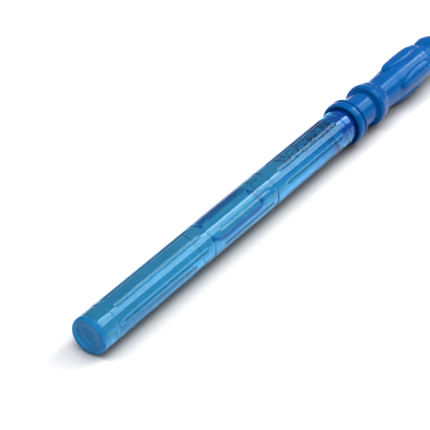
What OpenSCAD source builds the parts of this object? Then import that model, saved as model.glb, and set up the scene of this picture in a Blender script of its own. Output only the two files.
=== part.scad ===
// Bubble wand: a clear tube of bubble solution with a screw-on handle that carries the dipping loop.
// Every piece is drawn along its own axis, with distances measured from the tube's base,
// and then laid on its side: the base points to -X, the handle to +X, and +Z is up.

/* [Tube] */
// Outside diameter of the clear tube
tube_d = 26; // [25:0.1:26]
// Wall thickness of the clear tube
tube_wall = 1.1; // [0.9:0.05:1.2]
// Thickness of the tube's floor
floor_t = 2.6; // [1.8:0.1:3.5]
// Radius of the rounded corner round the base
base_corner = 2.2; // [1.5:0.1:3]
// Length of the whole tube, from base to mouth
tube_l = 300; // [299:0.1:300.5]
// Depth of the pill-shaped flutes pressed into the wall
flute_depth = 0.45; // [0.2:0.05:0.5]
// Number of flutes round the tube in each section
flute_count = 8; // [4:1:10]
// Depth of the narrow waists between the sections
waist_depth = 0.35; // [0.2:0.05:0.5]

/* [Cap] */
// Largest diameter of the cap's flange and its bead ring
cap_d = 31.6; // [31:0.1:33]
// Diameter of the neck between the flange and the grip
neck_d = 24; // [23:0.1:24.4]
// Rise of the cap for each turn on its thread
thread_pitch = 3; // [2.5:0.1:3.5]

/* [Grip] */
// Largest diameter of the collar at the front of the grip
collar_d = 31.2; // [30:0.1:31.4]
// Number of rounded finger lobes round the grip
lobe_count = 4; // [3:1:5]
// Radius of one lobe at its thickest
lobe_r = 6; // [5:0.1:6.2]
// Diameter of the pommel at the end of the grip
pommel_d = 25; // [24:0.1:26]

/* [Wand] */
// Diameter of the wand's round stem
stem_d = 5; // [4:0.1:5.2]
// Half the distance between the loop's two rails
loop_half = 7.2; // [6:0.1:8]
// Thickness of the loop's rails
rail_d = 2; // [1.6:0.1:2.4]
// Number of solution-holding ribs along each rail
rib_count = 15; // [8:1:18]

/* [Hidden] */
$fn = 96;

// Distances along the axis, measured from the base
total_l = 424;
waist_at = [14.8, 117, 190.5, 281];
flute_span = [[20.6, 110.6], [127.5, 185], [203, 274.7]];
flute_half_w = 1.4;
neck_start = 291;
thread_start = 292.6;
ring_start = 291.3;
notch_at = 298.3;
flange_end = 303.9;
collar_at = 320.5;
lobe_span = [352, 397];
lobe_taper_at = 381;
grip_end = 403.5;
loop_tip = 123.6;
loop_end = 181.4;
stopper_tip = 276.5;

// The radii that several pieces share
tube_r = tube_d / 2;
bore_r = tube_r - tube_wall;
mouth_r = bore_r - 0.6;
root_r = tube_r - 0.6;
crest_r = tube_r - 0.05;
cap_r = cap_d / 2;
skirt_bore_r = tube_r + 0.2;
skirt_r = skirt_bore_r + 1.1;
neck_r = neck_d / 2;
spigot_r = neck_r - 1.2;
stopper_r = mouth_r - 0.35;
stem_r = stem_d / 2;
rail_r = rail_d / 2;
pommel_r = pommel_d / 2;
plug_r = 9.4;
punt_r = 8.4;
barrel_r = neck_r - 0.2;
waist_r = 10.5;
washer_t = 1;
roof_at = tube_l + washer_t + 0.2;
roof_t = 2.2;

// Points of a circular arc, for the outlines that are turned about the axis
function arc(centre, r, from, to, steps = 8) =
    [for (i = [0 : steps]) centre + r * [cos(from + (to - from) * i / steps), sin(from + (to - from) * i / steps)]];

// Lays a piece that was drawn upright, base down, on its side with its axis cap_r above the ground
module lay() {
    translate([-total_l / 2, 0, cap_r]) rotate([180, 0, 0]) rotate([0, 90, 0]) children();
}

// A round hole or pin along the axis between two distances
module rod(r, from, to) {
    translate([0, 0, from]) cylinder(r = r, h = to - from);
}

// A ring along the axis between two distances
module pipe(outer, inner, from, to) {
    difference() {
        rod(outer, from, to);
        rod(inner, from - 1, to + 1);
    }
}

// The cutter for one flute: a long round-ended rod that just bites into the wall
module flute(span) {
    cutter_r = (pow(flute_half_w, 2) + pow(flute_depth, 2)) / (2 * flute_depth);
    middle = tube_r + cutter_r - flute_depth;
    translate([middle, 0, 0]) {
        rod(cutter_r, span[0] + flute_half_w, span[1] - flute_half_w);
        for (end = [span[0] + flute_half_w, span[1] - flute_half_w])
            translate([0, 0, end]) sphere(r = cutter_r);
    }
}

// The cutter for one waist: a shallow round groove all the way round
module waist(at) {
    groove_r = 2.4;
    translate([0, 0, at]) rotate_extrude()
        translate([tube_r + groove_r - waist_depth, 0]) circle(r = groove_r);
}

// The screw thread on the tube's neck, one and a half turns of a blunt ridge
module thread() {
    steps_per_turn = 32;
    turns = 1.5;
    rings = steps_per_turn * turns;
    half_root = 0.75;
    half_crest = 0.35;
    root = root_r - 0.25;
    section = [[root, -half_root], [crest_r, -half_crest], [crest_r, half_crest], [root, half_root]];
    corners = [
        for (i = [0 : rings], p = section)
            let (turn = 360 * i / steps_per_turn)
                [p[0] * cos(turn), p[0] * sin(turn), thread_start + p[1] + thread_pitch * i / steps_per_turn]
    ];
    sides = [
        for (i = [0 : rings - 1], k = [0 : 3])
            let (a = 4 * i + k, b = 4 * i + (k + 1) % 4)
                each [[a, b, b + 4], [a, b + 4, a + 4]]
    ];
    last = 4 * rings;
    ends = [[3, 2, 1], [3, 1, 0], [last, last + 1, last + 2], [last, last + 2, last + 3]];
    polyhedron(points = corners, faces = concat(sides, ends));
}

// Clear tube with a rounded, slightly domed base and a threaded neck
module tube() {
    color([0.36, 0.68, 0.86, 0.5]) lay() {
        difference() {
            rotate_extrude() polygon(concat(
                [[0, 0.9], [punt_r - 2, 0.6], [punt_r, 0]],
                arc([tube_r - base_corner, base_corner], base_corner, -90, 0),
                [[tube_r, neck_start], [root_r, neck_start + 1], [root_r, tube_l],
                 [mouth_r, tube_l], [mouth_r, neck_start + 1], [bore_r, neck_start - 2]],
                arc([bore_r - 2, floor_t + 2], 2, 0, -90),
                [[6.5, floor_t + 0.3], [0, floor_t + 0.9]]
            ));
            for (at = waist_at) waist(at);
            for (s = [0 : 2], k = [0 : flute_count - 1])
                rotate([0, 0, (k + (s == 1 ? 0 : 0.5)) * 360 / flute_count]) flute(flute_span[s]);
        }
        thread();
    }
}

// Bead ring with a crowned band and a rounded front corner, which covers the cap's skirt
module skirt_ring() {
    crown = 9;
    back = notch_at - 0.1;
    color([0.05, 0.36, 0.68]) lay() rotate_extrude() polygon(concat(
        [[skirt_r + 0.05, back], [skirt_r + 0.05, ring_start]],
        arc([skirt_r + 0.1, ring_start + 0.6], 0.6, -90, -20, 4),
        arc([cap_r - crown, ring_start + 4.5], crown, -25, 13),
        [[cap_r - 0.5, back]]
    ));
}

// Soft sealing washer between the tube's mouth and the cap's roof
module seal_washer() {
    color([0.93, 0.94, 0.95]) lay() pipe(tube_r - 0.1, mouth_r + 0.1, tube_l + 0.1, tube_l + 0.1 + washer_t);
}

// Cap: skirt over the thread, lipped flange, smooth neck and the spigot that the grip is pressed on
module cap_shell() {
    lip = 0.9;
    wall = 2;
    color([0.05, 0.36, 0.68]) lay() difference() {
        rotate_extrude() polygon(concat(
            [[0, roof_at], [skirt_bore_r, roof_at], [skirt_bore_r, ring_start + 0.4],
             [skirt_r, ring_start + 0.4], [skirt_r, notch_at], [cap_r - 0.6, notch_at]],
            arc([cap_r - lip, notch_at + 1.1], lip, -50, 45),
            [[neck_r + 0.5, flange_end - 0.7], [neck_r, flange_end],
             [neck_r, collar_at - 0.1], [spigot_r, collar_at - 0.1], [spigot_r, collar_at + 12],
             [spigot_r - wall, collar_at + 12], [spigot_r - wall, roof_at + roof_t], [0, roof_at + roof_t]]
        ));
        rod(6, roof_at - 1, roof_at + roof_t + 1);
    }
}

// Hollow ribbed stopper that seals the tube's mouth and holds the wand's stem
module stopper() {
    wall = 1.2;
    rib_h = 0.2;
    ribs = [295, 290.5, 284, 280];
    color([0.16, 0.46, 0.74]) lay() difference() {
        rotate_extrude() polygon(concat(
            [[0, stopper_tip + 3], [0, roof_at + roof_t + 0.6], [6, roof_at + roof_t + 0.6], [6, roof_at],
             [stopper_r, roof_at]],
            [for (at = ribs, p = [[0, 0.7], [rib_h, 0.4], [rib_h, -0.4], [0, -0.7]]) [stopper_r + p[0], at + p[1]]],
            [[stopper_r, stopper_tip + 1.5], [stopper_r - 1, stopper_tip], [stopper_r - wall - 0.6, stopper_tip],
             [stopper_r - wall, stopper_tip + 2], [stopper_r - wall, roof_at - 2.5],
             [4.2, roof_at - 2.5], [4.2, stopper_tip + 3]]
        ));
        rod(stem_r, stopper_tip, roof_at - 4);
    }
}

// Wand: round stem, tapering shoulder and a long ribbed loop that lies flat in the tube
module wand() {
    bend_low = loop_tip + rail_r + loop_half;
    bend_high = loop_end - rail_r - loop_half;
    rib_gap = (bend_high - bend_low) / rib_count;
    rib_h = 0.25;
    color([0.05, 0.36, 0.68]) lay() {
        rod(stem_r, loop_end - rail_d, roof_at - 4);
        translate([0, 0, loop_end - rail_d]) cylinder(r1 = stem_r, r2 = stem_r + 0.8, h = 4);
        translate([0, 0, loop_end - rail_d + 4]) cylinder(r1 = stem_r + 0.8, r2 = stem_r, h = 6);
        for (side = [-1, 1]) translate([0, side * loop_half, 0]) {
            rod(rail_r, bend_low, bend_high);
            for (i = [0.5 : rib_count - 0.5]) rod(rail_r + rib_h, bend_low + i * rib_gap - 0.4, bend_low + i * rib_gap + 0.4);
        }
        translate([0, 0, bend_low]) rotate([0, 90, 0]) rotate([0, 0, -90])
            rotate_extrude(angle = 180) translate([loop_half, 0]) circle(r = rail_r, $fn = 32);
        translate([0, 0, bend_high]) rotate([0, 90, 0]) rotate([0, 0, 90])
            rotate_extrude(angle = 180) translate([loop_half, 0]) circle(r = rail_r, $fn = 32);
    }
}

// One lobe of the grip: a long rod with a blunt round front and a tapered tail, sunk in the barrel
module lobe() {
    lobe_axis = 10;
    tail_r = 4.2;
    front_at = lobe_span[0] + lobe_r;
    tail_at = lobe_span[1] - tail_r;
    translate([lobe_axis, 0, 0]) {
        translate([0, 0, front_at]) sphere(r = lobe_r);
        rod(lobe_r, front_at, lobe_taper_at);
        translate([0, 0, lobe_taper_at]) cylinder(r1 = lobe_r, r2 = tail_r, h = tail_at - lobe_taper_at);
        translate([0, 0, tail_at]) sphere(r = tail_r);
    }
}

// Hollow grip: flared collar in front, lobed barrel behind, open at the end for the pommel
module grip_shell() {
    collar_r = collar_d / 2;
    lobe_phase = -20.5;
    color([0.05, 0.36, 0.68]) lay() difference() {
        union() {
            rotate_extrude() polygon(concat(
                [[0, collar_at], [neck_r, collar_at]],
                arc([collar_r - 3, collar_at + 3.4], 3, -75, 12),
                [[collar_r - 0.5, collar_at + 7], [collar_r - 1.2, collar_at + 10.8]],
                arc([collar_r - 2.2, collar_at + 11.4], 1, 10, 75, 4),
                arc([barrel_r + 0.9, collar_at + 14.8], 0.9, 250, 180, 4),
                [[barrel_r, 342], [12.1, 350], [12.9, 362], [13, 375], [12.9, 388], [12.5, 396],
                 [11.6, 400], [waist_r + 0.2, 402.4], [waist_r, grip_end], [0, grip_end]]
            ));
            for (k = [0 : lobe_count - 1]) rotate([0, 0, lobe_phase + k * 360 / lobe_count]) lobe();
        }
        rod(spigot_r, collar_at - 1, collar_at + 12.2);
        rod(plug_r, collar_at + 11, grip_end + 1);
    }
}

// Bulbous pommel with a hollow plug that closes the end of the grip
module pommel_cap() {
    bow = 18;
    edge = 6.5;
    bow_end = 18;
    bow_centre = [pommel_r - bow, 413];
    edge_centre = bow_centre + (bow - edge) * [cos(bow_end), sin(bow_end)];
    color([0.05, 0.36, 0.68]) lay() {
        rotate_extrude() polygon(concat(
            [[0, grip_end], [waist_r, grip_end], [waist_r, 404.6]],
            arc(bow_centre, bow, -27, bow_end),
            arc(edge_centre, edge, bow_end + 10, 80, 6),
            [[3, total_l - 0.2], [0, total_l]]
        ));
        pipe(plug_r, plug_r - 1.6, grip_end - 9, grip_end + 0.5);
    }
}

tube();
skirt_ring();
seal_washer();
cap_shell();
stopper();
wand();
grip_shell();
pommel_cap();
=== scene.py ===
"""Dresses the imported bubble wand: fine meshes, clear tube with its solution, plastics, light and camera."""

import math
import random

import bmesh
import bpy
from mathutils import Matrix, Vector


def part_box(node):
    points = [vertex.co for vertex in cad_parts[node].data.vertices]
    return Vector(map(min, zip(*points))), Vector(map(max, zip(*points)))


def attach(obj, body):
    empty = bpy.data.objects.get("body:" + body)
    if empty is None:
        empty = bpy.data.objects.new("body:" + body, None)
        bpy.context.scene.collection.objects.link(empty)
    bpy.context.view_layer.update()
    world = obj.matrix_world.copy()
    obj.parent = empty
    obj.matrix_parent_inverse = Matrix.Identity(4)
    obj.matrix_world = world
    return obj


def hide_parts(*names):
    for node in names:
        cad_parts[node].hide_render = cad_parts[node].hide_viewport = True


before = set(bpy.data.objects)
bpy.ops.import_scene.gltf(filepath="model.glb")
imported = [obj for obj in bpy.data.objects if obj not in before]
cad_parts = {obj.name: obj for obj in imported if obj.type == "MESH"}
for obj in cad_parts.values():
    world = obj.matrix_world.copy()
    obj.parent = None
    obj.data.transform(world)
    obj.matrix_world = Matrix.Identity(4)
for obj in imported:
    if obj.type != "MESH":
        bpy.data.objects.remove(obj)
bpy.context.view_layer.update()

MM = 0.001
TAU = 2 * math.pi

# Places along the wand, in millimetres from the tube's base, as the source has them
TUBE_LENGTH = 300.0
WAISTS = (14.8, 117.0, 190.5, 281.0)
FLUTE_SPANS = ((20.6, 110.6), (127.5, 185.0), (203.0, 274.7))
NECK_START = 291.0
RING_START = 291.3
NOTCH = 298.3
FLANGE_END = 303.9
COLLAR = 320.5
LOBE_MIDDLE = 377.0
LOBE_HALF = 22.8
GRIP_END = 403.5
WAND_LENGTH = 424.0
LOOP_TIP = 123.6
LOOP_END = 181.4
STOPPER_TIP = 276.5
STOPPER_RIBS = (280, 284, 290.5, 295)
ROOF = 301.2

# Radii, in millimetres
TUBE_R = 13.0
BORE_R = 11.9
MOUTH_R = 11.3
THREAD_ROOT_R = 12.4
THREAD_CREST_R = 12.95
CAP_R = 15.8
SKIRT_BORE_R = 13.2
SKIRT_R = 14.3
NECK_R = 12.0
SPIGOT_R = 10.8
COLLAR_R = 15.6
BARREL_R = 11.8
WAIST_R = 10.5
PLUG_R = 9.4
POMMEL_R = 12.5
STOPPER_R = 10.95
STEM_SOCKET_R = 4.2
CAP_HOLE_R = 6.0
STEM_R = 2.5
RAIL_R = 1.0
LOOP_HALF = 7.2

FLUTES = 8
FLUTE_HALF_WIDTH = 1.4
FLUTE_DEPTH = 0.45
WAIST_DEPTH = 0.35
WAIST_HALF_WIDTH = 0.8
WALL_GAIN = 0.5
WALL_GAIN_START = 205
WALL_GAIN_RUN = 75
THREAD_START = 292.6
THREAD_PITCH = 3.0
THREAD_TURNS = 1.5
THREAD_HALF_WIDTH = 0.85
THREAD_FLANK = 0.5
LOBES = 4
LOBE_PHASE = math.radians(20.5)
LOBE_HALF_TURN = math.radians(27.5)
LOBE_RISE = 2.75
PILL_AT = 310.0
PILL_ROLL = -math.radians(79)
PILL_HALF_STRAIGHT = 2.6
PILL_OUTER_R = 1.75
PILL_INNER_R = 1.05

BASE_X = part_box("tube")[0].x
AXIS_Z = (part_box("tube")[0].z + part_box("tube")[1].z) / 2


def place(along, radius, roll):
    """A point beside the wand's axis: millimetres along and out, and the roll from +Z towards +Y."""
    return Vector((
        BASE_X + along * MM,
        radius * MM * math.sin(roll),
        AXIS_Z + radius * MM * math.cos(roll),
    ))


def smooth_step(t):
    """Goes from 0 to 1 as t does, with soft ends."""
    t = min(1.0, max(0.0, t))
    return t * t * (3 - 2 * t)


# Mesh tools


def make_piece(name, verts, faces, body, material, replaced=(), sharp=40):
    """A smooth mesh that rides on a body, and the solids of the source that it replaces."""
    mesh = bpy.data.meshes.new(name)
    mesh.from_pydata([tuple(v) for v in verts], [], faces)
    mesh.validate()
    shape = bmesh.new()
    shape.from_mesh(mesh)
    bmesh.ops.recalc_face_normals(shape, faces=shape.faces)
    shape.to_mesh(mesh)
    shape.free()
    mesh.shade_smooth()
    mesh.set_sharp_from_angle(angle=math.radians(sharp))
    mesh.materials.append(material)
    obj = bpy.data.objects.new(name, mesh)
    bpy.context.scene.collection.objects.link(obj)
    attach(obj, body)
    if replaced:
        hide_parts(*replaced)


def rounded(corners, steps=5):
    """An outline of (along, radius) points from corners of (along, radius, fillet)."""
    points = []
    last = len(corners) - 1
    for i, corner in enumerate(corners):
        here = Vector(corner[:2])
        fillet = corner[2] if len(corner) > 2 else 0
        if not fillet or i in (0, last):
            points.append(tuple(here))
            continue
        back = Vector(corners[i - 1][:2]) - here
        on = Vector(corners[i + 1][:2]) - here
        half = back.angle(on) / 2
        reach = min(fillet / math.tan(half), 0.49 * back.length, 0.49 * on.length)
        start = here + back.normalized() * reach
        end = here + on.normalized() * reach
        for k in range(steps + 1):
            t = k / steps
            points.append(tuple(start * (1 - t) ** 2 + here * 2 * t * (1 - t) + end * t * t))
    return points


def skin(outline, segments, radius_at=None):
    """Turns an outline about the wand's axis. radius_at(along, radius, roll) may reshape it."""
    verts, faces, rings = [], [], []
    for along, radius in outline:
        if radius < 1e-6:
            rings.append([len(verts)] * segments)
            verts.append(place(along, 0, 0))
            continue
        start = len(verts)
        rings.append(list(range(start, start + segments)))
        for k in range(segments):
            roll = TAU * k / segments
            r = radius_at(along, radius, roll) if radius_at else radius
            verts.append(place(along, r, roll))
    for low, high in zip(rings, rings[1:]):
        for k in range(segments):
            n = (k + 1) % segments
            face = [low[k], low[n], high[n], high[k]]
            face = [v for i, v in enumerate(face) if v not in face[:i]]
            if len(face) > 2:
                faces.append(face)
    return verts, faces


def lathe(name, corners, body, material, replaced=(), segments=96, radius_at=None, closed=True,
          sharp=40):
    """Turns corners into a piece: a closed outline makes a ring, an open one starts and ends on the axis."""
    outline = rounded(corners)
    if closed:
        outline.append(outline[0])
    verts, faces = skin(outline, segments, radius_at)
    if closed:
        first_of_last = len(verts) - segments
        verts = verts[:first_of_last]
        faces = [[v - first_of_last if v >= first_of_last else v for v in f] for f in faces]
    make_piece(name, verts, faces, body, material, replaced, sharp)


def sweep(path, radius_of, sides, closed):
    """A round rod along path, a list of points in metres; radius_of(i) is in millimetres."""
    verts, faces = [], []
    count = len(path)
    side_on = Vector((0, 0, 1))
    for i, point in enumerate(path):
        ahead = path[(i + 1) % count] if closed else path[min(i + 1, count - 1)]
        behind = path[i - 1] if closed else path[max(i - 1, 0)]
        along = (ahead - behind).normalized()
        across = along.cross(side_on).normalized()
        for k in range(sides):
            angle = TAU * k / sides
            verts.append(point + (across * math.cos(angle) + side_on * math.sin(angle)) * radius_of(i) * MM)
    spans = count if closed else count - 1
    for i in range(spans):
        a, b = i * sides, ((i + 1) % count) * sides
        for k in range(sides):
            n = (k + 1) % sides
            faces.append([a + k, a + n, b + n, b + k])
    return verts, faces


# Materials


def new_material(name):
    """A new material with its node tree and its main shader."""
    material = bpy.data.materials.new(name)
    material.use_nodes = True
    tree = material.node_tree
    return material, tree, tree.nodes["Principled BSDF"]


def add_node(tree, kind, **inputs):
    """A node with some inputs set; an underscore in an input's name stands for a space."""
    node = tree.nodes.new(kind)
    for key, value in inputs.items():
        node.inputs[key.replace("_", " ")].default_value = value
    return node


def noise(tree, scale, detail=3.0):
    """Soft noise that stays fixed to the object."""
    coords = tree.nodes.new("ShaderNodeTexCoord")
    node = add_node(tree, "ShaderNodeTexNoise", Scale=scale, Detail=detail)
    tree.links.new(coords.outputs["Object"], node.inputs["Vector"])
    return node.outputs["Fac"]


def ramp(tree, fac, low, high, start=0.35, end=0.65):
    """Blends from a low to a high colour as a value goes from start to end."""
    node = tree.nodes.new("ShaderNodeValToRGB")
    node.color_ramp.elements[0].position = start
    node.color_ramp.elements[1].position = end
    node.color_ramp.elements[0].color = (*low, 1)
    node.color_ramp.elements[1].color = (*high, 1)
    tree.links.new(fac, node.inputs["Fac"])
    return node.outputs["Color"]


def bump(tree, shader, height, strength, distance):
    node = add_node(tree, "ShaderNodeBump", Strength=strength, Distance=distance)
    tree.links.new(height, node.inputs["Height"])
    tree.links.new(node.outputs["Normal"], shader.inputs["Normal"])


def moulded_plastic(name, low, high, roughness, tint, gloss_level=0.5, grain=0.08):
    """Moulded plastic: a faint flow mottle in the colour, uneven gloss and a fine skin."""
    material, tree, shader = new_material(name)
    tree.links.new(ramp(tree, noise(tree, 45), low, high), shader.inputs["Base Color"])
    gloss = ramp(tree, noise(tree, 160), (roughness * 0.85,) * 3, (roughness * 1.15,) * 3)
    tree.links.new(gloss, shader.inputs["Roughness"])
    bump(tree, shader, noise(tree, 900, 2.0), grain, 0.00008)
    shader.inputs["Specular Tint"].default_value = (*tint, 1)
    shader.inputs["Specular IOR Level"].default_value = gloss_level
    return material


def along_tube(tree, start, end, low=0.0, high=1.0):
    """A value that goes from low to high between two places along the tube."""
    coords = tree.nodes.new("ShaderNodeTexCoord")
    parts = tree.nodes.new("ShaderNodeSeparateXYZ")
    tree.links.new(coords.outputs["Object"], parts.inputs["Vector"])
    share = add_node(tree, "ShaderNodeMapRange", From_Min=BASE_X + start * MM, From_Max=BASE_X + end * MM,
                     To_Min=low, To_Max=high)
    tree.links.new(parts.outputs["X"], share.inputs["Value"])
    return share.outputs["Result"]


# The mix node's colour sockets go by number, because its other kinds of socket share their names
MIX_FIRST_COLOUR = 6
MIX_SECOND_COLOUR = 7
MIX_COLOUR_RESULT = 2


def fade(tree, colour, share, other):
    """Fades a colour to another one by a share from 0 to 1."""
    blend = tree.nodes.new("ShaderNodeMix")
    blend.data_type = "RGBA"
    tree.links.new(share, blend.inputs["Factor"])
    tree.links.new(colour, blend.inputs[MIX_FIRST_COLOUR])
    blend.inputs[MIX_SECOND_COLOUR].default_value = (*other, 1)
    return blend.outputs[MIX_COLOUR_RESULT]


def largest(tree, *values):
    """The largest of some values, as one value."""
    result = values[0]
    for value in values[1:]:
        node = tree.nodes.new("ShaderNodeMath")
        node.operation = "MAXIMUM"
        tree.links.new(result, node.inputs[0])
        tree.links.new(value, node.inputs[1])
        result = node.outputs[0]
    return result


CLEAR_GLOSS_TINT = (0.6, 0.88, 1.0)
HAZE_COLOUR = (0.5, 0.85, 1.0)
BASE_COLOUR = (0.0, 0.42, 0.90)


def clear_plastic(name, low, high, roughness, ior, ripple=0.0, tint=None, density=0.0, deeper=None,
                  clearness=1.0, haze=0.0, milky_base=0.0):
    """Clear plastic or liquid, tinted at its surface and by its depth, with faint flow ripples.

    A deeper colour fades in towards the tube's neck, and a milky base is less clear at the tube's base.
    """
    material, tree, shader = new_material(name)
    if tint:
        depth = add_node(tree, "ShaderNodeVolumeAbsorption", Color=(*tint, 1), Density=density)
        tree.links.new(depth.outputs["Volume"], tree.nodes["Material Output"].inputs["Volume"])
    if haze:
        cloud = add_node(tree, "ShaderNodeVolumeScatter", Color=(*HAZE_COLOUR, 1), Density=haze,
                         Anisotropy=0.3)
        tree.links.new(cloud.outputs["Volume"], tree.nodes["Material Output"].inputs["Volume"])
    colour = ramp(tree, noise(tree, 25), low, high)
    if milky_base:
        colour = fade(tree, colour, along_tube(tree, 4.0, 0.8), BASE_COLOUR)
    if deeper:
        colour = fade(tree, colour, along_tube(tree, 225, 285), deeper)
    tree.links.new(colour, shader.inputs["Base Color"])
    shader.inputs["Transmission Weight"].default_value = clearness
    shader.inputs["Specular Tint"].default_value = (*CLEAR_GLOSS_TINT, 1)
    shader.inputs["Roughness"].default_value = roughness
    shader.inputs["IOR"].default_value = ior
    if ripple:
        bump(tree, shader, noise(tree, 60, 1.5), ripple, 0.0004)
    if milky_base:
        clear_share = along_tube(tree, 0.6, 3.2, 1 - milky_base, clearness)
        tree.links.new(clear_share, shader.inputs["Transmission Weight"])
    return material


handle_blue = moulded_plastic("handle_blue", (0.001, 0.100, 0.37), (0.002, 0.115, 0.41),
                              roughness=0.14, tint=(0.05, 0.7, 1.0), gloss_level=0.2)
stopper_blue = moulded_plastic("stopper_blue", (0.002, 0.22, 0.60), (0.004, 0.29, 0.70),
                               roughness=0.28, tint=(0.1, 0.7, 1.0))
washer_white = moulded_plastic("washer_white", (0.78, 0.80, 0.81), (0.86, 0.87, 0.88),
                               roughness=0.7, tint=(1, 1, 1), grain=0.3)
foam_pale = moulded_plastic("foam_pale", (0.02, 0.42, 0.85), (0.30, 0.75, 0.95),
                            roughness=0.5, tint=(0.5, 0.8, 1.0), grain=0.5)
tube_clear = clear_plastic("tube_clear", (0.15, 0.51, 0.71), (0.19, 0.56, 0.76),
                           roughness=0.02, ior=1.4, ripple=0.06, deeper=(0.01, 0.38, 0.69), milky_base=0.3)
wand_blue = clear_plastic("wand_blue", (0.80, 0.92, 0.98), (0.86, 0.95, 1.0),
                          roughness=0.05, ior=1.04, tint=(0.0, 0.80, 0.92), density=2600)
stem_clear = clear_plastic("stem_clear", (0.95, 0.98, 1.0), (0.97, 0.99, 1.0),
                           roughness=0.05, ior=1.05, tint=(0.0, 0.70, 0.89), density=200)
foam_clear = clear_plastic("foam_clear", (0.0, 0.15, 0.45), (0.03, 0.34, 0.75),
                           roughness=0.0, ior=1.4, clearness=0.4)
solution_clear = clear_plastic("solution_clear", (0.90, 0.97, 0.99), (0.94, 0.99, 1.0),
                               roughness=0.0, ior=1.33, haze=7)


# The clear tube


def flute_depth_at(along, roll):
    """How deep the pill-shaped flutes cut; the middle row is turned by half a step."""
    deepest = 0.0
    for section, (start, end) in enumerate(FLUTE_SPANS):
        if not start - 1 < along < end + 1:
            continue
        step = TAU / FLUTES
        phase = 0.0 if section == 1 else 0.5
        off = (roll / step - phase + 0.5) % 1.0 - 0.5
        middle = (start + end) / 2
        straight = (end - start) / 2 - FLUTE_HALF_WIDTH
        beyond = max(0.0, abs(along - middle) - straight)
        distance = math.hypot(beyond, off * step * TUBE_R) / FLUTE_HALF_WIDTH
        if distance < 1:
            deepest = max(deepest, FLUTE_DEPTH * (1 - distance * distance))
    return deepest


def waist_depth_at(along):
    """How deep the narrow waists cut."""
    return sum(WAIST_DEPTH * math.exp(-(((along - w) / WAIST_HALF_WIDTH) ** 2)) for w in WAISTS)


def thread_height_at(along, roll):
    """The thread's ridge on the neck, which climbs a pitch for each turn against the roll."""
    turned = (-roll / TAU) % 1.0
    height = 0.0
    while turned <= THREAD_TURNS:
        off = abs(along - THREAD_START - turned * THREAD_PITCH)
        height = max(height, smooth_step((THREAD_HALF_WIDTH - off) / THREAD_FLANK))
        turned += 1.0
    return height * (THREAD_CREST_R - THREAD_ROOT_R)


def bore_at(along):
    """The wall thickens a little towards the neck."""
    return BORE_R - WALL_GAIN * smooth_step((along - WALL_GAIN_START) / WALL_GAIN_RUN)


def tube_radius(along, radius, roll):
    """Cuts the flutes and waists into the tube's outside and adds the thread to its neck."""
    if along < NECK_START and radius > BORE_R + 0.5:
        return radius - flute_depth_at(along, roll) - waist_depth_at(along)
    if along >= NECK_START and abs(radius - THREAD_ROOT_R) < 0.01:
        return radius + thread_height_at(along, roll)
    return radius


def stations(start, end, coarse, fine_spots):
    """Places from start to end, close together round each (middle, half width, step)."""
    places = set()
    count = max(1, round((end - start) / coarse))
    for k in range(count + 1):
        places.add(round(start + (end - start) * k / count, 3))
    for middle, half, step in fine_spots:
        places = {p for p in places if abs(p - middle) > half + 0.05}
        for k in range(round(2 * half / step) + 1):
            p = middle - half + k * step
            if start <= p <= end:
                places.add(round(p, 3))
    return sorted(places | {start, end})


def tube_outline():
    """The outline of the tube's wall: its base, outside, neck and rim, and back down its inside."""
    spots = [(w, 2.4, 0.3) for w in WAISTS]
    spots += [(p, 2.4, 0.4) for span in FLUTE_SPANS for p in (span[0] + 1, span[1] - 1)]
    base = rounded([(0.9, 0), (0.6, 6.4, 2), (0, 8.4, 1.0), (0, TUBE_R, 2.2), (8, TUBE_R)], 8)[:-1]
    wall = [(p, TUBE_R) for p in stations(3.5, NECK_START - 0.3, 9, spots)]
    neck = [(p, THREAD_ROOT_R) for p in stations(NECK_START + 0.8, TUBE_LENGTH - 0.4, 0.4, [])]
    rim = rounded([(TUBE_LENGTH - 0.6, THREAD_ROOT_R), (TUBE_LENGTH, THREAD_ROOT_R, 0.4),
                   (TUBE_LENGTH, MOUTH_R, 0.4), (290, MOUTH_R)])[1:-1]
    bore = [(p, MOUTH_R) for p in (298, 295, NECK_START + 1)]
    bore += [(p, bore_at(p)) for p in range(288, 200, -6)]
    inner = rounded([(200, BORE_R), (100, BORE_R), (2.6, BORE_R, 2.2), (2.9, 6.5, 3), (3.5, 0)], 7)
    return base + wall + neck + rim + bore + inner


lathe("clear_tube", tube_outline(), "bottle", tube_clear, ["tube"],
      segments=320, radius_at=tube_radius, closed=False, sharp=50)


# The bubble solution, with its air pocket and bubbles under the top of the wall

OVERLAP = 0.06
POCKET_START = 196.0
POCKET_SLOPE = 0.0105


def air_level(along):
    """How high the liquid stands above the axis; the air pocket deepens towards the neck."""
    return BORE_R + OVERLAP - max(0.0, along - POCKET_START) * POCKET_SLOPE


def liquid_radius(along, radius, roll):
    """Cuts the top of the liquid flat where the air pocket lies."""
    up = math.cos(roll)
    return min(radius, air_level(along) / up) if up > 0.5 and radius > 6 else radius


liquid_outline = rounded([(2.85, 0), (2.55, BORE_R + OVERLAP, 2.2), (20, BORE_R + OVERLAP)], 7)
liquid_outline += [(p, bore_at(p) + OVERLAP) for p in (60, 110, 160, 190, *range(200, 276, 8))]
liquid_outline += [(STOPPER_TIP - 0.9, bore_at(STOPPER_TIP - 0.9) + OVERLAP)]
liquid_outline += [(STOPPER_TIP - 0.5, MOUTH_R - 0.6), (STOPPER_TIP - 0.4, 0)]
lathe("bubble_solution", liquid_outline, "bottle", solution_clear,
      segments=128, radius_at=liquid_radius, closed=False, sharp=30)


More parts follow.
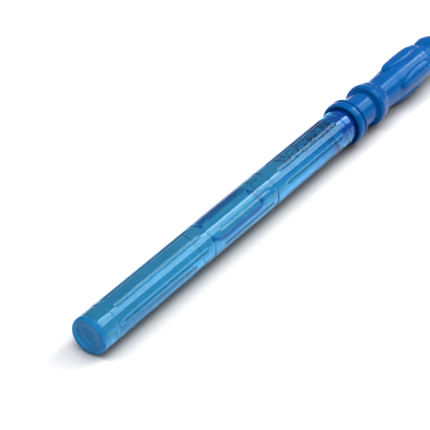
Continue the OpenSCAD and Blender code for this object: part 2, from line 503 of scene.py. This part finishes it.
def make_bubbles(spots):
    """Small bubbles as one mesh; each spot is along, across, up and radius in millimetres."""
    ball = bmesh.new()
    bmesh.ops.create_icosphere(ball, subdivisions=2, radius=1)
    points = [v.co.copy() for v in ball.verts]
    triangles = [[v.index for v in f.verts] for f in ball.faces]
    ball.free()
    verts, faces = [], []
    for along, across, up, size in spots:
        middle = Vector((BASE_X + along * MM, across * MM, AXIS_Z + up * MM))
        first = len(verts)
        verts += [middle + p * size * MM for p in points]
        faces += [[first + v for v in f] for f in triangles]
    make_piece("soap_bubbles", verts, faces, "bottle", foam_clear, sharp=180)


RISEN_BUBBLES = 260
CLINGING_BUBBLES = 110
LAST_BUBBLE = 274.5
FIRST_CLINGING = 258
BUBBLE_SPREAD = 62


def bubble_spots():
    """Bubbles risen under the top of the wall, thicker towards the stopper, and some that cling near it."""
    dice = random.Random(11)
    spots = []
    for _ in range(RISEN_BUBBLES):
        along = LAST_BUBBLE - BUBBLE_SPREAD * dice.random() ** 1.4
        size = dice.uniform(0.35, 1.0)
        across = dice.uniform(-5.2, 5.2)
        top = min(air_level(along), math.sqrt(bore_at(along) ** 2 - across ** 2))
        spots.append((along, across, top - size - 0.08 - 0.8 * dice.random() ** 3, size))
    for _ in range(CLINGING_BUBBLES):
        along = dice.uniform(FIRST_CLINGING, LAST_BUBBLE)
        size = dice.uniform(0.25, 0.7)
        roll = dice.uniform(-2.6, 2.2)
        out = bore_at(along) - size - 0.12
        if out * math.cos(roll) < air_level(along) - size:
            spots.append((along, out * math.sin(roll), out * math.cos(roll), size))
    return spots


make_bubbles(bubble_spots())


# The wand inside


def loop_path(count):
    """Points round the loop of two rails and two half circles, and each one's share along its rail."""
    low = LOOP_TIP + RAIL_R + LOOP_HALF
    high = LOOP_END - RAIL_R - LOOP_HALF
    straight = high - low
    bend = math.pi * LOOP_HALF
    total = 2 * (straight + bend)
    points, shares = [], []
    for k in range(count):
        d = total * k / count
        if d < straight:
            points.append((low + d, LOOP_HALF))
            shares.append(d / straight)
        elif d < straight + bend:
            angle = (d - straight) / LOOP_HALF
            points.append((high + LOOP_HALF * math.sin(angle), LOOP_HALF * math.cos(angle)))
            shares.append(None)
        elif d < 2 * straight + bend:
            back = d - straight - bend
            points.append((high - back, -LOOP_HALF))
            shares.append(back / straight)
        else:
            angle = (d - 2 * straight - bend) / LOOP_HALF
            points.append((low - LOOP_HALF * math.sin(angle), -LOOP_HALF * math.cos(angle)))
            shares.append(None)
    return [Vector((BASE_X + a * MM, y * MM, AXIS_Z)) for a, y in points], shares


RIBS = 15
path, shares = loop_path(420)


def rail_radius(i):
    """The rails swell into round ribs, and the half circles stay plain."""
    share = shares[i]
    if share is None:
        return RAIL_R
    wave = 0.5 - 0.5 * math.cos(TAU * share * RIBS)
    return RAIL_R + 0.35 * wave ** 2


verts, faces = sweep(path, rail_radius, sides=16, closed=True)
make_piece("wand_loop", verts, faces, "handle", wand_blue, ["wand"])
lathe("wand_stem", [(LOOP_END - 2.6, 0), (LOOP_END - 2.6, STEM_R, 0.6), (LOOP_END + 1.6, STEM_R + 0.8, 2),
                    (LOOP_END + 7.6, STEM_R, 2), (ROOF - 4, STEM_R), (ROOF - 4, 0)],
      "handle", stem_clear, segments=32, closed=False)

stopper = [(STOPPER_TIP + 3, 0), (STOPPER_TIP + 3, STEM_SOCKET_R, 0.4), (ROOF - 2.5, STEM_SOCKET_R),
           (ROOF - 2.5, STOPPER_R - 1.2), (STOPPER_TIP + 2, STOPPER_R - 1.2),
           (STOPPER_TIP, STOPPER_R - 1.6, 0.3), (STOPPER_TIP, STOPPER_R - 0.9, 0.4),
           (STOPPER_TIP + 1.6, STOPPER_R, 0.5)]
for rib in STOPPER_RIBS:
    stopper += [(rib - 0.8, STOPPER_R), (rib, STOPPER_R + 0.25, 0.5), (rib + 0.8, STOPPER_R)]
stopper += [(ROOF, STOPPER_R), (ROOF, CAP_HOLE_R), (ROOF + 2.7, CAP_HOLE_R, 0.3), (ROOF + 2.7, 0)]
lathe("stopper_plug", stopper, "handle", stopper_blue, ["stopper"],
      segments=72, closed=False)

foam_inner = STEM_SOCKET_R + 0.05
foam_outer = STOPPER_R - 1.65
lathe("stopper_foam", [(STOPPER_TIP + 1.2, foam_inner), (STOPPER_TIP + 1.2, foam_outer),
                       (STOPPER_TIP + 3.5, foam_outer), (STOPPER_TIP + 3.5, foam_inner)],
      "handle", foam_pale, segments=64)

lathe("washer", [(TUBE_LENGTH + 0.1, MOUTH_R + 0.1), (TUBE_LENGTH + 0.1, TUBE_R - 0.1, 0.2),
                 (TUBE_LENGTH + 1.1, TUBE_R - 0.1, 0.2), (TUBE_LENGTH + 1.1, MOUTH_R + 0.1)],
      "washer", washer_white, ["seal_washer"], segments=64)


# The cap and the grip

bead = [(RING_START, SKIRT_R + 0.05), (RING_START, SKIRT_R + 0.6, 0.4),
        (RING_START + 0.6, CAP_R - 0.45, 0.7), (RING_START + 2.6, CAP_R, 2.5),
        (NOTCH - 1.1, CAP_R, 1.2), (NOTCH - 0.1, CAP_R - 1.3, 0.4), (NOTCH - 0.1, SKIRT_R + 0.05)]
lathe("bead_ring", bead, "bead", handle_blue, ["skirt_ring"], segments=160)

near_pill = [(p, NECK_R) for p in stations(305.5, 316.5, 0.5, [])]
cap = [(ROOF, CAP_HOLE_R), (ROOF, SKIRT_BORE_R), (RING_START + 0.4, SKIRT_BORE_R, 0.3),
       (RING_START + 0.4, SKIRT_R), (NOTCH, SKIRT_R),
       (NOTCH, CAP_R - 1.2, 0.2), (NOTCH + 0.4, CAP_R - 0.1, 0.6),
       (NOTCH + 2.0, CAP_R, 0.6), (NOTCH + 2.8, CAP_R - 1.0, 0.7),
       (FLANGE_END - 0.4, NECK_R + 0.3, 1.2), (FLANGE_END + 1.4, NECK_R),
       *near_pill, (COLLAR - 0.1, NECK_R), (COLLAR - 0.1, SPIGOT_R),
       (COLLAR + 12, SPIGOT_R, 0.4), (COLLAR + 12, SPIGOT_R - 2), (ROOF + 2.2, SPIGOT_R - 2),
       (ROOF + 2.2, CAP_HOLE_R)]


def neck_pill(along, radius, roll):
    """A low moulded pill on the neck's side: a raised rim round a shallow dip."""
    if abs(radius - NECK_R) > 0.01:
        return radius
    beyond = max(0.0, abs(along - PILL_AT) - PILL_HALF_STRAIGHT)
    off = ((roll - PILL_ROLL) / TAU + 0.5) % 1.0 * TAU - math.pi
    distance = math.hypot(beyond, off * NECK_R)
    rim = 0.3 * smooth_step((PILL_OUTER_R - distance) / 0.5)
    dip = 0.4 * smooth_step((PILL_INNER_R - distance) / 0.5)
    return radius + rim - dip


lathe("cap", cap, "handle", handle_blue, ["cap_shell"], segments=320, radius_at=neck_pill)


def barrel_radius(along):
    """The grip's round barrel between its lobes, from the collar to the waist before the pommel."""
    marks = [(340, 11.8), (350, 12.1), (362, 12.9), (375, 13.0), (388, 12.9), (396, 12.4), (402.4, 10.7),
             (404, 10.5)]
    for (a, ra), (b, rb) in zip(marks, marks[1:]):
        if along <= b:
            return ra + (rb - ra) * smooth_step((along - a) / (b - a))
    return marks[-1][1]


def lobed_radius(along, radius, roll):
    """Raises the barrel into long oval pads, rounded across, blunt in front and softer behind."""
    if radius < WAIST_R - 0.1 or not 345 < along < 402:
        return radius
    step = TAU / LOBES
    off = ((roll - LOBE_PHASE) / step + 0.5) % 1.0 * step - step / 2
    away = (along - LOBE_MIDDLE) / LOBE_HALF
    width = LOBE_HALF_TURN * math.sqrt(max(1e-9, 1 - away * away))
    out = abs(off) / width
    if abs(away) >= 1 or out >= 1:
        return radius
    power = 4.0 if away < 0 else 4.0 - 1.6 * away
    rise_along = (1 - abs(away) ** power) ** (1 / power)
    rise_across = (1 - out ** 2.3) ** (1 / 2.3)
    return radius + LOBE_RISE * rise_along * rise_across


collar = rounded([(COLLAR, SPIGOT_R), (COLLAR, NECK_R + 0.2, 0.2), (COLLAR + 0.5, NECK_R + 1.4, 0.8),
                  (COLLAR + 0.9, COLLAR_R - 0.6, 2.4), (COLLAR + 4.4, COLLAR_R, 1.6),
                  (COLLAR + 5.0, COLLAR_R - 0.25, 0.5),
                  (COLLAR + 10.8, COLLAR_R - 1.2, 1.0), (COLLAR + 12.4, COLLAR_R - 1.7, 0.9),
                  (COLLAR + 14.0, BARREL_R + 0.3, 1.0), (COLLAR + 15.5, BARREL_R, 1.5), (338, BARREL_R)], 6)
LOBE_EDGE = 1.2
fine_spots = [(LOBE_MIDDLE + side * (LOBE_HALF - LOBE_EDGE), 2 * LOBE_EDGE, 0.3) for side in (-1, 1)]
barrel = [(p, barrel_radius(p)) for p in stations(338.6, GRIP_END, 0.8, fine_spots)]
inside = [(GRIP_END, PLUG_R), (COLLAR + 12.2, PLUG_R), (COLLAR + 12.2, SPIGOT_R)]
lathe("lobed_grip", collar + barrel + inside, "handle", handle_blue, ["grip_shell"],
      segments=360, radius_at=lobed_radius, sharp=50)

pommel = [(GRIP_END, WAIST_R), (404.6, WAIST_R, 0.3), (408.6, POMMEL_R - 0.5, 4),
          (413.0, POMMEL_R + 0.15, 6), (419.5, POMMEL_R - 0.9, 4), (422.8, POMMEL_R - 5.0, 4),
          (WAND_LENGTH, 3, 3), (WAND_LENGTH, 0)]
pommel_inside = [(GRIP_END + 1, 0), (GRIP_END + 1, PLUG_R - 1.6), (GRIP_END - 9, PLUG_R - 1.6),
                 (GRIP_END - 9, PLUG_R), (GRIP_END, PLUG_R)]
lathe("pommel", pommel_inside + pommel, "handle", handle_blue, ["pommel_cap"],
      segments=128, closed=False)


# Floor, light and camera


def far_white(tree, colour):
    """Fades the floor's own light to white away from the object, where the lamps don't reach."""
    coords = tree.nodes.new("ShaderNodeTexCoord")
    distance = tree.nodes.new("ShaderNodeVectorMath")
    distance.operation = "LENGTH"
    tree.links.new(coords.outputs["Object"], distance.inputs[0])
    share = add_node(tree, "ShaderNodeMapRange", From_Min=0.35, From_Max=1.2)
    tree.links.new(distance.outputs["Value"], share.inputs["Value"])
    return fade(tree, colour, share.outputs["Result"], (1, 1, 1))


def make_floor():
    """A white floor that the tube's base and the cap's rings both rest on, with a painted shadow in the gap
    under the wand.
    """
    base_rounding = 2.0
    drop = (CAP_R - TUBE_R) * MM
    run = (NOTCH - base_rounding) * MM
    slope = drop / run
    ring_x = BASE_X + NOTCH * MM
    reach = 4.0
    clearance = 0.00002
    under_ring = AXIS_Z - CAP_R * MM - clearance
    verts = [(x, y, under_ring - (x - ring_x) * slope) for x in (-reach, reach) for y in (-reach, reach)]
    mesh = bpy.data.meshes.new("floor")
    mesh.from_pydata(verts, [], [(0, 2, 3, 1)])
    floor = bpy.data.objects.new("floor", mesh)
    bpy.context.scene.collection.objects.link(floor)
    material, tree, shader = new_material("white_floor")
    shader.inputs["Roughness"].default_value = 0.9
    shader.inputs["Specular IOR Level"].default_value = 0.0
    # Painted shadow: ambient occlusion makes the floor's colour darker in the gap under the wand
    near = add_node(tree, "ShaderNodeAmbientOcclusion", Distance=0.02)
    near.samples = 16
    painted_shadow_mask = near.outputs["AO"]
    painted_shadow_colour = ramp(tree, painted_shadow_mask, (0.12,) * 3, (0.90,) * 3, 0.15, 0.85)
    tree.links.new(painted_shadow_colour, shader.inputs["Base Color"])
    # A glow of its own keeps the floor white, dimmed in the gap under the wand as painted shadow, and through
    # the clear tube it looks an even light grey
    paths = tree.nodes.new("ShaderNodeLightPath")
    through = paths.outputs["Is Transmission Ray"]
    glow = far_white(tree, ramp(tree, painted_shadow_mask, (0.01,) * 3, (0.24,) * 3, 0.15, 0.85))
    tree.links.new(fade(tree, glow, through, (0.6, 0.6, 0.6)), shader.inputs["Emission Color"])
    seen = largest(tree, paths.outputs["Is Camera Ray"], through, paths.outputs["Is Glossy Ray"])
    tree.links.new(seen, shader.inputs["Emission Strength"])
    mesh.materials.append(material)


def area_light(name, direction, distance, size, size_y, power, along=(1, 0, 0), target=(0.0, 0.0, 0.01)):
    """A soft box that looks at the target from a direction; its width lies near the given line."""
    data = bpy.data.lights.new(name, "AREA")
    data.shape = "RECTANGLE"
    data.size = size
    data.size_y = size_y
    data.energy = power
    light = bpy.data.objects.new(name, data)
    bpy.context.scene.collection.objects.link(light)
    back = Vector(direction).normalized()
    side = (Vector(along) - back * Vector(along).dot(back)).normalized()
    up = back.cross(side)
    turn = Matrix((side, up, back)).transposed().to_4x4()
    light.matrix_world = Matrix.Translation(Vector(target) + back * distance) @ turn


def make_world(strength):
    """A white room that looks white to the camera and through clear parts, and lights the object softly."""
    world = bpy.data.worlds.new("white_room")
    world.use_nodes = True
    tree = world.node_tree
    background = tree.nodes["Background"]
    background.inputs["Color"].default_value = (1, 1, 1, 1)
    paths = tree.nodes.new("ShaderNodeLightPath")
    level = tree.nodes.new("ShaderNodeMath")
    level.operation = "MAXIMUM"
    level.inputs[1].default_value = strength
    seen = largest(tree, paths.outputs["Is Camera Ray"], paths.outputs["Is Transmission Ray"])
    tree.links.new(seen, level.inputs[0])
    tree.links.new(level.outputs[0], background.inputs["Strength"])
    bpy.context.scene.world = world


def make_camera():
    """The photograph's view, fitted to the tube's outline in the 430 by 430 picture."""
    picture = 430
    azimuth = math.radians(34.02)
    elevation = math.radians(33.82)
    distance = 1.2802
    focal = 2145.6
    base_px = (87.94, 337.02)
    heading = Vector((math.cos(azimuth), math.sin(azimuth), 0))
    look = heading * math.cos(elevation) - Vector((0, 0, math.sin(elevation)))
    right = Vector((heading.y, -heading.x, 0))
    up = right.cross(look)
    to_base = look + right * (base_px[0] - picture / 2) / focal - up * (base_px[1] - picture / 2) / focal
    data = bpy.data.cameras.new("camera")
    data.sensor_width = 36
    data.lens = focal * data.sensor_width / picture
    data.clip_start = 0.05
    data.clip_end = 50
    camera = bpy.data.objects.new("camera", data)
    bpy.context.scene.collection.objects.link(camera)
    turn = Matrix((right, up, -look)).transposed().to_4x4()
    camera.matrix_world = Matrix.Translation(place(0, 0, 0) - to_base * distance) @ turn
    bpy.context.scene.camera = camera


def set_light_paths():
    """Enough bounces for light that is passed on many times inside the clear tube."""
    cycles = bpy.context.scene.cycles
    cycles.max_bounces = 32
    cycles.glossy_bounces = 24
    cycles.transmission_bounces = 32
    cycles.volume_bounces = 2
    cycles.caustics_reflective = False


make_floor()
make_world(strength=0.20)
area_light("soft_box", (0.66, -0.39, 0.64), distance=1.3, size=1.1, size_y=0.64, power=10)
area_light("strip", (0.66, -0.15, 0.735), distance=1.3, size=1.1, size_y=0.2, power=4)
area_light("top_box", (-0.15, -0.05, 0.98), distance=1.3, size=0.7, size_y=0.7, power=6.5)
area_light("key", (-0.35, 0.75, 0.75), distance=1.6, size=0.5, size_y=0.4, power=4)
make_camera()
set_light_paths()
bpy.context.scene.view_settings.view_transform = "Standard"
